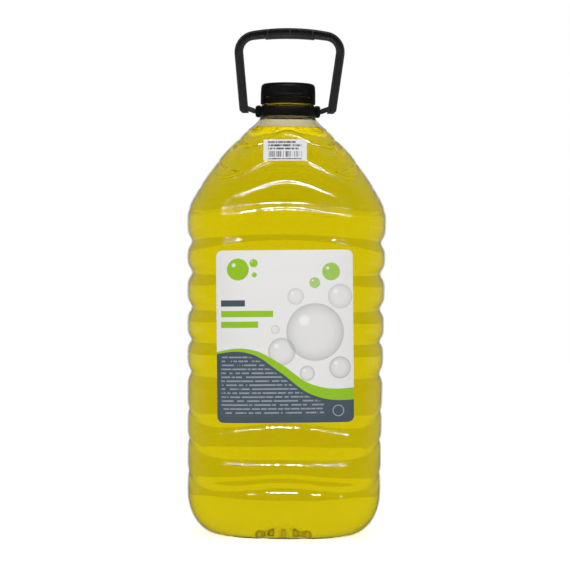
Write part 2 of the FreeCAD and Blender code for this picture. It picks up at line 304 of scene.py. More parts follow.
def relief(angle, height):
    # how far the grooves and steps lie below the smooth body: each is a bell curve across a line
    # that waves up and down round the body
    depth = 0
    for mean, frontRise, faceRise, grooveDepth, halfWidth in body["grooves"]:
        line = mean + frontRise * np.cos(2 * angle) + faceRise * np.cos(4 * angle)
        share = 1 - (1 - body["frontShare"]) * np.cos(angle) ** 4 if grooveDepth > 2 else 1
        depth = depth + grooveDepth * share * np.exp(-(((height - line) / halfWidth) ** 2))
    for faceHeight, cornerDrop, stepDepth in body["steps"]:
        line = faceHeight - cornerDrop * (1 - np.cos(4 * angle)) / 2
        reach = np.where(height > line, body["stepReachAbove"], body["stepReachBelow"])
        depth = depth + stepDepth * np.exp(-(((height - line) / reach) ** 2))
    return depth


def channelCeiling(x, y, grown):
    # height of the nearest of the channels that run out through the foot, a rounded hump across it
    angle = np.arctan2(x, -y)
    pitch = 2 * np.pi / body["channels"]
    offset = (angle % pitch) - pitch / 2
    radius = np.hypot(x, y)
    across = np.abs(radius * np.sin(offset))
    width = body["channelHalfWidth"] + grown
    fade = 1 - 0.85 * ease((radius - 38) / 8)
    return (body["channelHeight"] * fade + grown) * np.exp(-((across / width) ** 3))


def undersideRows(inset, rows, columns):
    # the foot from its middle outwards: a lobed cone with a domed top, level outside it, and the channels
    angle = np.linspace(0, 2 * np.pi, columns, endpoint=False)
    radius = np.linspace(1.0, body["footHalfWidth"] - 0.4 - inset * 0.3, rows)[:, None]
    power = 2 + (body["footSquareness"] - 2) * (radius / body["footHalfWidth"]) ** 3
    plan = radius * (np.abs(np.sin(angle)) ** power + np.abs(np.cos(angle)) ** power) ** (-1 / power)
    x, y = plan * np.sin(angle), -plan * np.cos(angle)
    lobes = 1 + 0.12 * np.cos(body["channels"] * angle)
    reach = body["coneRadius"] * lobes + inset
    share = np.clip((reach - plan) / (body["coneRadius"] - body["coneTopRadius"]), 0, 1)
    crown = (body["domeHeight"] - body["coneHeight"]) * np.maximum(1 - (plan / body["coneTopRadius"]) ** 2, 0)
    dome = body["coneHeight"] * (0.4 * share + 0.6 * ease(share)) + crown + inset
    height = smoothMax(dome, inset + 0 * plan, 0.6)
    height = smoothMax(height, channelCeiling(x, y, inset), 0.6)
    height = np.maximum(height - body["undersideSettle"], inset)
    return np.stack([x, y, height], -1)


def bodyRows(outline, columns, inset):
    # each row is a squarish ring, half-width / (|sin|^n + |cos|^n)^(1/n), less the relief
    angle = np.linspace(0, 2 * np.pi, columns, endpoint=False)
    width, height = outline[:, :1], outline[:, 1:]
    power = squareness(height)
    section = (np.abs(np.sin(angle)) ** power + np.abs(np.cos(angle)) ** power) ** (-1 / power)
    radius = width * section - relief(angle, height)
    x, y = radius * np.sin(angle), -radius * np.cos(angle)
    low = height < 14
    raised = smoothMax(height + 0 * angle, channelCeiling(x, y, inset) * ease((14 - height) / 8), 0.6) - 0.3
    raised = np.where(low, np.maximum(raised, height), height + 0 * angle)
    return np.stack([x, y, raised], -1)


def petMaterial(name, headOn, edgeOn, roughness):
    # thin clear plastic: lets light through unchanged, and its outer side mirrors more towards its edges
    material, tree, output = newMaterial(name)
    place = addNode(tree, "TexCoord").outputs["Object"]
    wobble = addNode(tree, "TexNoise", {"Vector": place, "Scale": 55.0, "Detail": 2.0})
    bump = addNode(tree, "Bump", {"Height": wobble.outputs[0], "Strength": 0.12, "Distance": 0.0006})
    facing = addNode(tree, "LayerWeight", {"Blend": 0.5, "Normal": bump.outputs[0]}).outputs["Facing"]
    steep = calc(tree, "POWER", facing, 10.0)
    edge = addNode(tree, "MapRange", {"Value": steep, "To Min": headOn, "To Max": edgeOn}).outputs[0]
    front = calc(tree, "SUBTRACT", 1.0, addNode(tree, "NewGeometry").outputs["Backfacing"])
    clear = addNode(tree, "BsdfTransparent", {"Color": (0.985, 0.988, 0.975, 1)})
    gloss = addNode(tree, "BsdfGlossy", {"Color": (1, 1, 1, 1), "Roughness": roughness, "Normal": bump.outputs[0]})
    share = calc(tree, "MULTIPLY", edge, front)
    mix = addNode(tree, "MixShader", {0: share, 1: clear.outputs[0], 2: gloss.outputs[0]})
    tree.links.new(mix.outputs[0], output.inputs["Surface"])
    return material


def thickMaterial(name, low, high):
    # thicker plastic: refracts, and goes from one tint to another between two heights under the ring; on the neck
    # the upper, yellow tint is painted light, a painted glow standing in for the soap's yellow light carried up into
    # the clear ring
    material, tree, output = newMaterial(name)
    place = addNode(tree, "TexCoord").outputs["Object"]
    height = addNode(tree, "SeparateXYZ", {"Vector": place}).outputs["Z"]
    ramp = addNode(tree, "MapRange", {
        "Value": height, "From Min": 0.3195, "From Max": 0.3225, "To Min": 0.0, "To Max": 1.0})
    tint = mixColour(tree, ramp.outputs[0], low, high)
    grain = addNode(tree, "TexNoise", {"Vector": place, "Scale": 90.0, "Detail": 2.0})
    bump = addNode(tree, "Bump", {"Height": grain.outputs[0], "Strength": 0.1, "Distance": 0.0005})
    glass = addNode(tree, "BsdfPrincipled", {
        "Base Color": tint, "Roughness": 0.04, "IOR": 1.5, "Transmission Weight": 1.0, "Normal": bump.outputs[0]})
    clear = addNode(tree, "BsdfTransparent", {"Color": (0.88, 0.87, 0.8, 1)})
    shadow = addNode(tree, "LightPath").outputs["Is Shadow Ray"]
    mix = addNode(tree, "MixShader", {0: shadow, 1: glass.outputs[0], 2: clear.outputs[0]})
    tree.links.new(mix.outputs[0], output.inputs["Surface"])
    return material


def soapMaterial(name):
    # clear yellow liquid: the colour comes from how far light travels through it
    material, tree, output = newMaterial(name)
    place = addNode(tree, "TexCoord").outputs["Object"]
    swirl = addNode(tree, "TexNoise", {"Vector": place, "Scale": 9.0, "Detail": 2.0, "Roughness": 0.5})
    bump = addNode(tree, "Bump", {"Height": swirl.outputs[0], "Strength": 0.25, "Distance": 0.004})
    liquid = addNode(tree, "BsdfPrincipled", {
        "Base Color": (0.84, 0.685, 0.004, 1), "Roughness": 0.0, "IOR": 1.25, "Transmission Weight": 1.0,
        "Specular IOR Level": 0.12, "Normal": bump.outputs[0]})
    tinted = addNode(tree, "BsdfTransparent", {"Color": (0.93, 0.92, 0.84, 1)})
    shadow = addNode(tree, "LightPath").outputs["Is Shadow Ray"]
    mix = addNode(tree, "MixShader", {0: shadow, 1: liquid.outputs[0], 2: tinted.outputs[0]})
    absorb = addNode(tree, "VolumeAbsorption", {"Color": (0.982, 0.979, 0.5, 1), "Density": 50.0})
    tree.links.new(mix.outputs[0], output.inputs["Surface"])
    tree.links.new(absorb.outputs[0], output.inputs["Volume"])
    return material


def blackPlastic(name, dark, light, roughness, grainScale, grainDepth):
    # moulded plastic: fine grain in the surface, a little uneven in shade and gloss
    material, tree, output = newMaterial(name)
    place = addNode(tree, "TexCoord").outputs["Object"]
    cloud = addNode(tree, "TexNoise", {"Vector": place, "Scale": 70.0, "Detail": 4.0, "Roughness": 0.6})
    grain = addNode(tree, "TexNoise", {"Vector": place, "Scale": grainScale, "Detail": 2.0})
    shade = mixColour(tree, cloud.outputs[0], dark, light)
    rough = addNode(tree, "MapRange", {
        "Value": cloud.outputs[0], "From Min": 0.3, "From Max": 0.7,
        "To Min": roughness - 0.05, "To Max": roughness + 0.07})
    bump = addNode(tree, "Bump", {"Height": grain.outputs[0], "Strength": 0.35, "Distance": grainDepth})
    plastic = addNode(tree, "BsdfPrincipled", {
        "Base Color": shade, "Roughness": rough.outputs[0], "IOR": 1.49, "Specular IOR Level": 0.3,
        "Normal": bump.outputs[0]})
    tree.links.new(plastic.outputs[0], output.inputs["Surface"])
    return material


def foamMaterial(name):
    material, tree, output = newMaterial(name)
    place = addNode(tree, "TexCoord").outputs["Object"]
    cells = addNode(tree, "TexVoronoi", {"Vector": place, "Scale": 1400.0})
    shade = mixColour(tree, cells.outputs[0], colour(205, 204, 198), colour(238, 237, 232))
    bump = addNode(tree, "Bump", {"Height": cells.outputs[0], "Strength": 0.4, "Distance": 0.0002})
    foam = addNode(tree, "BsdfPrincipled", {"Base Color": shade, "Roughness": 0.8, "Normal": bump.outputs[0]})
    tree.links.new(foam.outputs[0], output.inputs["Surface"])
    return material


petOuter = petMaterial("clearPlastic", 0.1, 1.0, 0.03)
petInner = petMaterial("clearPlasticInside", 0.0, 0.02, 0.05)
# the neck's upper tint, from the ring up, is a painted yellow glow: the soap's light carried up into the clear
# plastic, not a colour of the plastic
petNeckPaintedGlow = thickMaterial("clearNeckPlasticPaintedGlow", colour(226, 222, 206), colour(236, 222, 90))
petFoot = thickMaterial("clearFootPlastic", colour(254, 253, 244), colour(254, 253, 244))
yellowSoap = soapMaterial("yellowSoap")
capBlack = blackPlastic("capBlack", colour(6, 6, 8), colour(12, 12, 14), 0.42, 900.0, 0.00004)
handleBlack = blackPlastic("handleBlack", colour(38, 38, 40), colour(58, 58, 61), 0.3, 700.0, 0.00006)
collarBlack = blackPlastic("collarBlack", colour(12, 12, 14), colour(22, 22, 24), 0.32, 700.0, 0.00006)
linerFoam = foamMaterial("linerFoam")
print("materials made")


bottle = {
    "columns": 196,
    "undersideRows": 26,
    "baseRows": 22,
    "bodyRows": 132,
    "shoulderRows": 104,
    "innerBaseRows": 14,
    "innerBodyRows": 60,
    "innerShoulderRows": 64,
    "clearAbove": 305.2,     # the soap ends here, and the plastic above it shows its own look
}


def neckProfile():
    # outside from the ledge to the rim, then down the bore to the ceiling of the body
    ledge = body["shoulderBase"] + body["shoulderHeight"]
    ring, bead = neck["ringRadius"], neck["beadRadius"]
    return roundedProfile([
        (body["ledgeRadius"] - 0.6, ledge, 0),
        (neck["outerRadius"], ledge, 0.5),
        (neck["outerRadius"], neck["ringLow"], 0.5),
        (ring, neck["ringLow"], 0.35),
        (ring, neck["ringHigh"], 0.35),
        (neck["finishRadius"], neck["ringHigh"] + 0.4, 0.3),
        (neck["finishRadius"], neck["beadLow"] - 0.4, 0.3),
        (bead, neck["beadLow"], 0.2),
        (bead, neck["beadLow"] + 0.7, 0.2),
        (neck["finishRadius"], neck["beadLow"] + 1.6, 0.3),
        (neck["finishRadius"], neck["rim"], 0.5),
        (neck["boreRadius"], neck["rim"], 0.4),
        (neck["boreRadius"], ledge - body["wall"], 0.4),
        (body["ledgeRadius"] - 0.8, ledge - body["wall"], 0),
    ])


def makeBottle():
    columns, wall = bottle["columns"], body["wall"]
    outside = sideOutline(0, bottle["baseRows"], bottle["bodyRows"], bottle["shoulderRows"])
    inside = sideOutline(wall, bottle["innerBaseRows"], bottle["innerBodyRows"], bottle["innerShoulderRows"])
    rings = [
        undersideRows(0, bottle["undersideRows"], columns),
        bodyRows(outside, columns, 0),
        turnedGrid(neckProfile(), columns),
        bodyRows(inside, columns, wall)[::-1],
        undersideRows(wall, bottle["undersideRows"], columns)[::-1],
    ]
    grid = np.concatenate(rings)
    middle = body["domeHeight"] - body["undersideSettle"]
    points, faces = closedSkin(grid, (0, 0, middle), (0, 0, middle + wall))
    rows = len(grid)
    share = np.repeat(np.arange(rows) / rows, columns)
    around = np.tile(np.arange(columns) / columns, rows)
    uv = np.vstack([np.stack([around, share], -1), [[0, 0], [0, 1]]])
    shell = finishMesh("bottleShell", points, faces, [petOuter, petInner, petNeckPaintedGlow, petFoot], 50, uv)
    # outer and inner wall, everything above the soap and the underside have a material each
    outerRows = sum(len(part) for part in rings[:2]) + len(rings[2]) // 2
    centres = np.zeros(len(shell.data.polygons) * 3)
    shell.data.polygons.foreach_get("center", centres)
    heights = centres.reshape(-1, 3)[:, 2] / mm
    which = np.zeros(len(heights), dtype=np.int32)
    which[outerRows * columns:(rows - 1) * columns] = 1
    which[:bottle["undersideRows"] * columns] = 3
    which[(rows - 1 - bottle["undersideRows"]) * columns:] = 3
    which[heights > bottle["clearAbove"]] = 2
    shell.data.polygons.foreach_set("material_index", which)
    return shell


shell = makeBottle()
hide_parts("bottle", "bottle_neck", "neck_finish")
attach(shell, "container")
print("bottle made", len(shell.data.polygons))


def makeSoap():
    # inside the bottle's inner wall, up to a level that curves up a little where it meets the wall
    inset = body["wall"] + soap["gap"]
    columns = soap["columns"]
    outline = sideOutline(inset, soap["baseRows"], soap["bodyRows"], soap["shoulderRows"])
    keep = outline[:, 1] < soap["level"] - 0.2
    below = outline[keep]
    last = np.array([[np.interp(soap["level"], outline[60:, 1], outline[60:, 0]), soap["level"]]])
    wetted = bodyRows(np.vstack([below, last]), columns, inset)
    edge = wetted[-1]
    shares = np.array([0.985, 0.965, 0.93, 0.88, 0.8, 0.6, 0.3, 0.08])
    top = edge[None] * np.stack([shares, shares, 0 * shares + 1], -1)[:, None]
    drop = soap["meniscus"] * (1 - np.exp(-(1 - shares) * np.hypot(edge[0, 0], edge[0, 1]) / 1.4))
    top[:, :, 2] -= drop[:, None]
    grid = np.concatenate([undersideRows(inset, soap["undersideRows"], columns), wetted, top])
    low = (0, 0, body["domeHeight"] + inset - body["undersideSettle"])
    points, faces = closedSkin(grid, low, (0, 0, soap["level"] - soap["meniscus"]))
    return finishMesh("soapBody", points, faces, yellowSoap, 60)


soapBody = makeSoap()
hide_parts("liquid_soap")
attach(soapBody, "container")
print("soap made", len(soapBody.data.polygons))


label = {
    "width": 100.0,
    "low": 87.0,
    "high": 212.9,
    "across": -0.4,
    "turn": 1.1,          # degrees askew
    "corner": 4.5,
    "thickness": 0.14,
    "lift": 0.13,         # above the bottle's ribs
    "sag": 0.3,           # how far the paper pulls in over the deepest groove
    "columns": 72,
    "rows": 96,
}

sticker = {
    "width": 32.0,
    "low": 279.0,
    "high": 295.5,
    "across": -1.8,
    "turn": 0.6,
    "corner": 0.8,
    "thickness": 0.1,
    "lift": 0.14,
    "sag": 0.0,
    "columns": 30,
    "rows": 14,
}


def makeSheet(name, size, material):
    # a rectangle with rounded corners, wrapped on the smooth body: forward distance is
    # (half-width^n - |across|^n)^(1/n), plus its lift, less its sag over the grooves
    share = np.linspace(0, 1, size["rows"] + 1)
    height = size["high"] - size["low"]
    # rows are closer near both ends, so the corners come out round
    rowShare = share + 0.12 * np.sin(2 * np.pi * share) * -1
    z = size["low"] + height * rowShare
    fromEnd = np.minimum(z - size["low"], size["high"] - z)
    cut = np.clip(size["corner"] - fromEnd, 0, size["corner"])
    half = size["width"] / 2 - size["corner"] + np.sqrt(size["corner"] ** 2 - cut ** 2)
    across = np.linspace(-1, 1, size["columns"] + 1)
    flatX = half[:, None] * across[None]
    flatZ = z[:, None] - (size["low"] + size["high"]) / 2 + 0 * flatX
    turn = math.radians(size["turn"])
    x = flatX * math.cos(turn) - flatZ * math.sin(turn) + size["across"]
    z = flatX * math.sin(turn) + flatZ * math.cos(turn) + (size["low"] + size["high"]) / 2
    outline = sideOutline(0, 22, 104, 74)
    reach = np.interp(z, outline[:, 1], outline[:, 0])
    power = squareness(z)
    smooth = (reach ** power - np.abs(x) ** power) ** (1 / power)
    dip = relief(np.arctan2(x, smooth), z)
    dip = dip / max(float(dip.max()), 0.001) * size["sag"]
    layers = []
    for lift in (size["lift"] + size["thickness"], size["lift"]):
        layers.append(np.stack([x, -(smooth + lift - dip), z], -1).reshape(-1, 3))
    points = np.vstack(layers)
    rows, columns = x.shape
    front = gridFaces(rows, columns, around=False)
    back = front[:, ::-1] + rows * columns
    ring = np.concatenate([
        np.arange(columns), np.arange(1, rows) * columns + columns - 1,
        (rows - 1) * columns + np.arange(columns - 2, -1, -1), np.arange(rows - 2, 0, -1) * columns])
    after = np.roll(ring, -1)
    rim = np.stack([after, ring, ring + rows * columns, after + rows * columns], -1)
    faces = np.vstack([front, back, rim]).tolist()
    flat = np.stack([flatX / size["width"] + 0.5, flatZ / height + 0.5], -1).reshape(-1, 2)
    return finishMesh(name, points, faces, material, 40, np.vstack([flat, flat]))


def curveNode(tree, value, points):
    # a smooth curve from share across to share up
    node = addNode(tree, "FloatCurve", {"Value": value})
    curve = node.mapping.curves[0]
    curve.points[0].location = points[0]
    curve.points[1].location = points[-1]
    for place in points[1:-1]:
        curve.points.new(*place)
    node.mapping.update()
    return node.outputs[0]


def softStep(tree, value, edge, blur):
    # 0 below the edge and 1 above it
    return addNode(tree, "MapRange", {
        "Value": value, "From Min": edge - blur, "From Max": edge + blur, "To Min": 0.0, "To Max": 1.0},
        interpolation_type="SMOOTHSTEP").outputs[0]


def between(tree, value, low, high, blur):
    # 1 between two edges and 0 outside them
    above = softStep(tree, value, low, blur)
    below = calc(tree, "SUBTRACT", 1.0, softStep(tree, value, high, blur))
    return calc(tree, "MULTIPLY", above, below)


def insideBar(tree, x, y, left, right, low, high):
    # 1 inside a plain bar, with sizes in millimetres on the sheet
    sides = between(tree, x, left, right, 0.15)
    ends = between(tree, y, low, high, 0.15)
    return calc(tree, "MULTIPLY", sides, ends)


def farFrom(tree, x, y, middleX, middleY):
    # distance from a point of the sheet, in millimetres
    offset = addNode(tree, "CombineXYZ", {
        0: calc(tree, "SUBTRACT", x, middleX), 1: calc(tree, "SUBTRACT", y, middleY)})
    return addNode(tree, "VectorMath", {0: offset.outputs[0]}, operation="LENGTH").outputs["Value"]


def brokenLine(tree, x, stretch, row, detail, edge, blur):
    # 1 and 0 in turn along a line, in uneven lengths that differ from row to row
    spot = addNode(tree, "CombineXYZ", {0: calc(tree, "MULTIPLY", x, stretch), 1: row})
    noise = addNode(tree, "TexNoise", {
        "Vector": spot.outputs[0], "Scale": 1.0, "Detail": detail}, noise_dimensions="2D")
    return softStep(tree, noise.outputs[0], edge, blur)


def sheetPlace(tree, size):
    # shares of the sheet's width and height, and millimetres from its lower left corner
    place = addNode(tree, "UVMap", uv_map="pattern").outputs[0]
    split = addNode(tree, "SeparateXYZ", {"Vector": place})
    x = calc(tree, "MULTIPLY", split.outputs[0], size["width"])
    y = calc(tree, "MULTIPLY", split.outputs[1], size["high"] - size["low"])
    return split.outputs[0], split.outputs[1], x, y


labelArt = {
    "white": colour(244, 243, 242),
    "green": colour(154, 206, 6),
    "slate": colour(72, 88, 102),
    "pale": colour(186, 194, 202),
    "grey": colour(176, 176, 176),
    "slateTop": [(0.0, 0.40), (0.25, 0.40), (0.45, 0.30), (0.7, 0.16), (1.0, 0.13)],
    "greenTop": [(0.0, 0.412), (0.25, 0.425), (0.45, 0.35), (0.7, 0.22), (1.0, 0.2)],
    # left, right, low, high in millimetres, and colour
    "bars": [
        (3.4, 21.0, 85.0, 89.6, "slate"), (3.4, 41.5, 77.2, 81.8, "green"), (3.4, 30.5, 69.4, 74.0, "green"),
    ],
    "lines": 2.9,         # pitch of the fine lines in the slate part
    # middle across, middle up, radius in millimetres, colour and strength
    "bubbles": [
        (16.0, 112.0, 8.0, "green", 1.0), (27.5, 116.5, 3.0, "green", 1.0), (28.0, 108.0, 1.8, "green", 1.0),
        (72.0, 66.0, 21.0, "grey", 0.75), (47.5, 52.0, 10.0, "grey", 0.8), (90.5, 92.0, 9.0, "grey", 0.6),
        (58.0, 92.0, 6.0, "grey", 0.6), (90.0, 40.0, 8.0, "grey", 0.9), (72.0, 102.0, 4.0, "green", 0.8),
        (84.0, 110.0, 6.5, "green", 0.9), (66.0, 36.0, 5.5, "grey", 0.9), (43.0, 68.0, 3.2, "grey", 0.7),
    ],
}


def labelMaterial():
    # glossy paper, printed with a slate foot, a green wave, fine lines, plain bars and soap bubbles
    material, tree, output = newMaterial("labelPaper")
    across, up, x, y = sheetPlace(tree, label)
    paint = labelArt["white"]

    for middleX, middleY, radius, tone, strength in labelArt["bubbles"]:
        share = calc(tree, "DIVIDE", farFrom(tree, x, y, middleX, middleY), radius)
        within = calc(tree, "SUBTRACT", 1.0, softStep(tree, share, 1.0, 0.25 / radius))
        if tone == "green":
            amount = calc(tree, "MULTIPLY", within, strength)
        else:
            # a bubble is darker towards its rim, with a lighter patch at its upper left
            rim = calc(tree, "POWER", share, 5.0)
            lift = calc(tree, "ADD", calc(tree, "MULTIPLY", rim, 0.75), 0.14)
            amount = calc(tree, "MULTIPLY", calc(tree, "MULTIPLY", within, lift), strength)
        paint = mixColour(tree, amount, paint, labelArt[tone])
        glintFar = farFrom(tree, x, y, middleX - radius * 0.38, middleY + radius * 0.4)
        glint = calc(tree, "SUBTRACT", 1.0, softStep(tree, glintFar, radius * 0.17, radius * 0.08))
        paint = mixColour(tree, calc(tree, "MULTIPLY", glint, 0.8), paint, (1, 1, 1, 1))

    for left, right, low, high, tone in labelArt["bars"]:
        paint = mixColour(tree, insideBar(tree, x, y, left, right, low, high), paint, labelArt[tone])

    greenTop = curveNode(tree, across, labelArt["greenTop"])
    slateTop = curveNode(tree, across, labelArt["slateTop"])
    belowGreen = softStep(tree, calc(tree, "SUBTRACT", greenTop, up), 0.0, 0.0012)
    belowSlate = softStep(tree, calc(tree, "SUBTRACT", slateTop, up), 0.0, 0.0012)
    paint = mixColour(tree, belowGreen, paint, labelArt["green"])
    paint = mixColour(tree, belowSlate, paint, labelArt["slate"])

    # fine lines, broken here and there as words are, and kept inside the slate part
    row = calc(tree, "DIVIDE", y, labelArt["lines"])
    within = calc(tree, "FRACT", row)
    number = calc(tree, "FLOOR", row)
    stripe = between(tree, within, 0.34, 0.72, 0.08)
    words = brokenLine(tree, x, 0.42, calc(tree, "MULTIPLY", number, 7.31), 1.0, 0.4, 0.02)
    marginTop = softStep(tree, calc(tree, "SUBTRACT", slateTop, up), 0.02, 0.002)
    marginSides = insideBar(tree, x, y, 3.2, 78.0, 5.0, 60.0)
    margins = calc(tree, "MULTIPLY", marginTop, marginSides)
    lines = calc(tree, "MULTIPLY", calc(tree, "MULTIPLY", stripe, words), margins)
    paint = mixColour(tree, calc(tree, "MULTIPLY", lines, 0.62), paint, labelArt["pale"])

    # a plain ring low on the right
    ring = between(tree, farFrom(tree, x, y, 88.5, 8.6), 3.6, 4.2, 0.15)
    paint = mixColour(tree, calc(tree, "MULTIPLY", ring, 0.8), paint, labelArt["pale"])

    # the paper has a faint tooth, and the ink lies unevenly on it
    body3d = addNode(tree, "TexCoord").outputs["Object"]
    tooth = addNode(tree, "TexNoise", {"Vector": body3d, "Scale": 420.0, "Detail": 3.0})
    patchy = addNode(tree, "TexNoise", {"Vector": body3d, "Scale": 24.0, "Detail": 2.0})
    paint = mixColour(tree, calc(tree, "MULTIPLY", patchy.outputs[0], 0.06), paint, (0.55, 0.55, 0.54, 1))
    rough = addNode(tree, "MapRange", {"Value": patchy.outputs[0], "To Min": 0.32, "To Max": 0.46})
    bump = addNode(tree, "Bump", {"Height": tooth.outputs[0], "Strength": 0.15, "Distance": 0.00005})
    paper = addNode(tree, "BsdfPrincipled", {
        "Base Color": paint, "Roughness": rough.outputs[0], "Specular IOR Level": 0.35, "Normal": bump.outputs[0]})
    tree.links.new(paper.outputs[0], output.inputs["Surface"])
    return material


def stickerMaterial():
    # thermal paper, printed with short lines and a strip of upright bars
    material, tree, output = newMaterial("stickerPaper")
    _, _, x, y = sheetPlace(tree, sticker)
    ink = colour(40, 40, 44)
    paint = colour(238, 238, 240)
    # low edge, high edge and right end of each line of words
    rows = (13.6, 15.1, 24.0), (11.0, 12.6, 29.0), (8.6, 10.0, 26.0), (1.0, 2.0, 28.0)
    for index, (low, high, right) in enumerate(rows):
        words = brokenLine(tree, x, 1.1, 3.7 * index + 1.0, 2.0, 0.42, 0.03)
        bar = calc(tree, "MULTIPLY", insideBar(tree, x, y, 3.4, right, low, high), words)
        paint = mixColour(tree, calc(tree, "MULTIPLY", bar, 0.9), paint, ink)
    upright = brokenLine(tree, x, 2.1, 20.5, 1.0, 0.5, 0.02)
    strip = calc(tree, "MULTIPLY", insideBar(tree, x, y, 4.0, 28.5, 2.9, 7.4), upright)
    paint = mixColour(tree, calc(tree, "MULTIPLY", strip, 0.8), paint, ink)
    body3d = addNode(tree, "TexCoord").outputs["Object"]
    tooth = addNode(tree, "TexNoise", {"Vector": body3d, "Scale": 500.0, "Detail": 3.0})
    bump = addNode(tree, "Bump", {"Height": tooth.outputs[0], "Strength": 0.12, "Distance": 0.00005})
    rough = addNode(tree, "MapRange", {"Value": tooth.outputs[0], "To Min": 0.45, "To Max": 0.6})
    paper = addNode(tree, "BsdfPrincipled", {
        "Base Color": paint, "Roughness": rough.outputs[0], "Specular IOR Level": 0.3, "Normal": bump.outputs[0]})
    tree.links.new(paper.outputs[0], output.inputs["Surface"])
    return material


frontLabel = makeSheet("frontLabel", label, labelMaterial())
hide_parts("label")
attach(frontLabel, "container")

shoulderSticker = makeSheet("shoulderSticker", sticker, stickerMaterial())
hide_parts("price_sticker")
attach(shoulderSticker, "container")
print("label and sticker made")


cap = {
    "radius": 20.7,
    "topRadius": 20.4,
    "bottom": 328.9,
    "wallTop": 335.9,
    "shoulder": 339.45,
    "crown": 340.15,
    "corner": 3.4,
    "knurlLow": 330.2,
    "innerRadius": 18.9,
    "ceiling": 338.15,
    "knurls": 120,
    "knurlDepth": 0.22,
    "columns": 720,
}

band = {
    "radius": 20.7,
    "innerRadius": 18.9,
    "lipRadius": 17.95,
    "bottom": 324.2,
    "top": 328.5,
    "lipTop": 326.1,
    "bridges": 16,
    "bridgeWidth": 0.7,
    "columns": 240,
}

thread = {
    "starts": 3,
    "lead": 9.0,
    "turnsEach": 0.5,
    "neckLow": 330.4,
    "neckHigh": 0.95,      # how far the ridge stands out
    "capHigh": 0.85,
    "halfWidth": 0.75,
    "steps": 110,
}


def makeCap():
    # an outline carried round the axis, with the outside wall drawn in by a row of knurls
    rounding = cap["corner"]
    corners = [
        (0.6, cap["crown"], 0),
        (10.0, cap["crown"] - 0.22, 0),
        (cap["topRadius"], cap["shoulder"], rounding),
        (cap["topRadius"] + 0.04, cap["wallTop"], 0),
        (cap["radius"] - 0.1, 331.0, 0),
        (cap["radius"] - 0.02, cap["knurlLow"], 0),
        (cap["radius"], cap["bottom"], 0.25),
        (cap["innerRadius"], cap["bottom"], 0.3),
        (cap["innerRadius"], cap["ceiling"], 0.6),
        (0.6, cap["ceiling"], 0),
    ]
    profile = roundedProfile(corners, 8)
    # more rows on the wall, so the knurls can fade out at both ends
    wall = np.linspace(cap["wallTop"], cap["knurlLow"], 14)
    top = profile[profile[:, 1] > cap["wallTop"] + 0.05]
    outerTop = top[: np.argmax(top[:, 0] >= cap["topRadius"] - 0.001) + 1]
    wallRadius = np.interp(
        wall, [cap["knurlLow"], cap["wallTop"]], [cap["radius"] - 0.02, cap["topRadius"] + 0.04])
    lowIndex = np.where(profile[:, 1] < cap["knurlLow"] - 0.01)[0][0]
    full = np.vstack([outerTop, np.stack([wallRadius, wall], -1), profile[lowIndex:]])
    grid = turnedGrid(full, cap["columns"])
    angle = np.linspace(0, 2 * np.pi, cap["columns"], endpoint=False)
    height = full[:, 1:2]
    outer = (full[:, :1] > 20.0) & (height > 329.5)
    fade = ease((height - cap["knurlLow"] - 0.1) / 0.9) * ease((cap["shoulder"] - 2.4 - height) / 1.2)
    depth = np.where(outer, cap["knurlDepth"] * fade, 0) * (0.5 + 0.5 * np.cos(cap["knurls"] * angle)) ** 1.5
    scale = 1 - depth / full[:, :1]
    grid[:, :, 0] *= scale
    grid[:, :, 1] *= scale
    points, faces = closedSkin(grid[::-1], (0, 0, cap["ceiling"]), (0, 0, cap["crown"]))
    return finishMesh("screwCap", points, faces, capBlack, 45)


def makeBand():
    # a ring of its own cross-section, with small bridges on top that once held it to the cap
    inner, outer, lip = band["innerRadius"], band["radius"], band["lipRadius"]
    low, high, lipTop = band["bottom"], band["top"], band["lipTop"]
    profile = [
        (inner, low), (outer - 0.2, low), (outer, low + 0.2), (outer, high - 0.15), (outer - 0.15, high),
        (inner, high), (inner, lipTop), (lip, lipTop), (lip, lipTop - 0.5),
    ]
    grid = turnedGrid(profile, band["columns"])
    faces = gridFaces(len(profile), band["columns"], along=True).tolist()
    points = [grid.reshape(-1, 3)]
    count = len(points[0])
    for index in range(band["bridges"]):
        angle = 2 * np.pi * (index + 0.5) / band["bridges"]
        half = band["bridgeWidth"] / 2 / outer
        angles = angle + np.array([-half, half])
        radii = np.array([outer - 1.0, outer - 0.25])
        heights = np.array([high - 0.1, high + 0.28])
        a, r, h = [part.ravel() for part in np.meshgrid(angles, radii, heights, indexing="ij")]
        points.append(np.stack([r * np.sin(a), -r * np.cos(a), h], -1))
        box = np.array([(0, 1, 3, 2), (4, 6, 7, 5), (0, 4, 5, 1), (2, 3, 7, 6), (0, 2, 6, 4), (1, 5, 7, 3)])
        faces += (box + count).tolist()
        count += 8
    return finishMesh("tamperBand", np.vstack(points), faces, capBlack, 35)


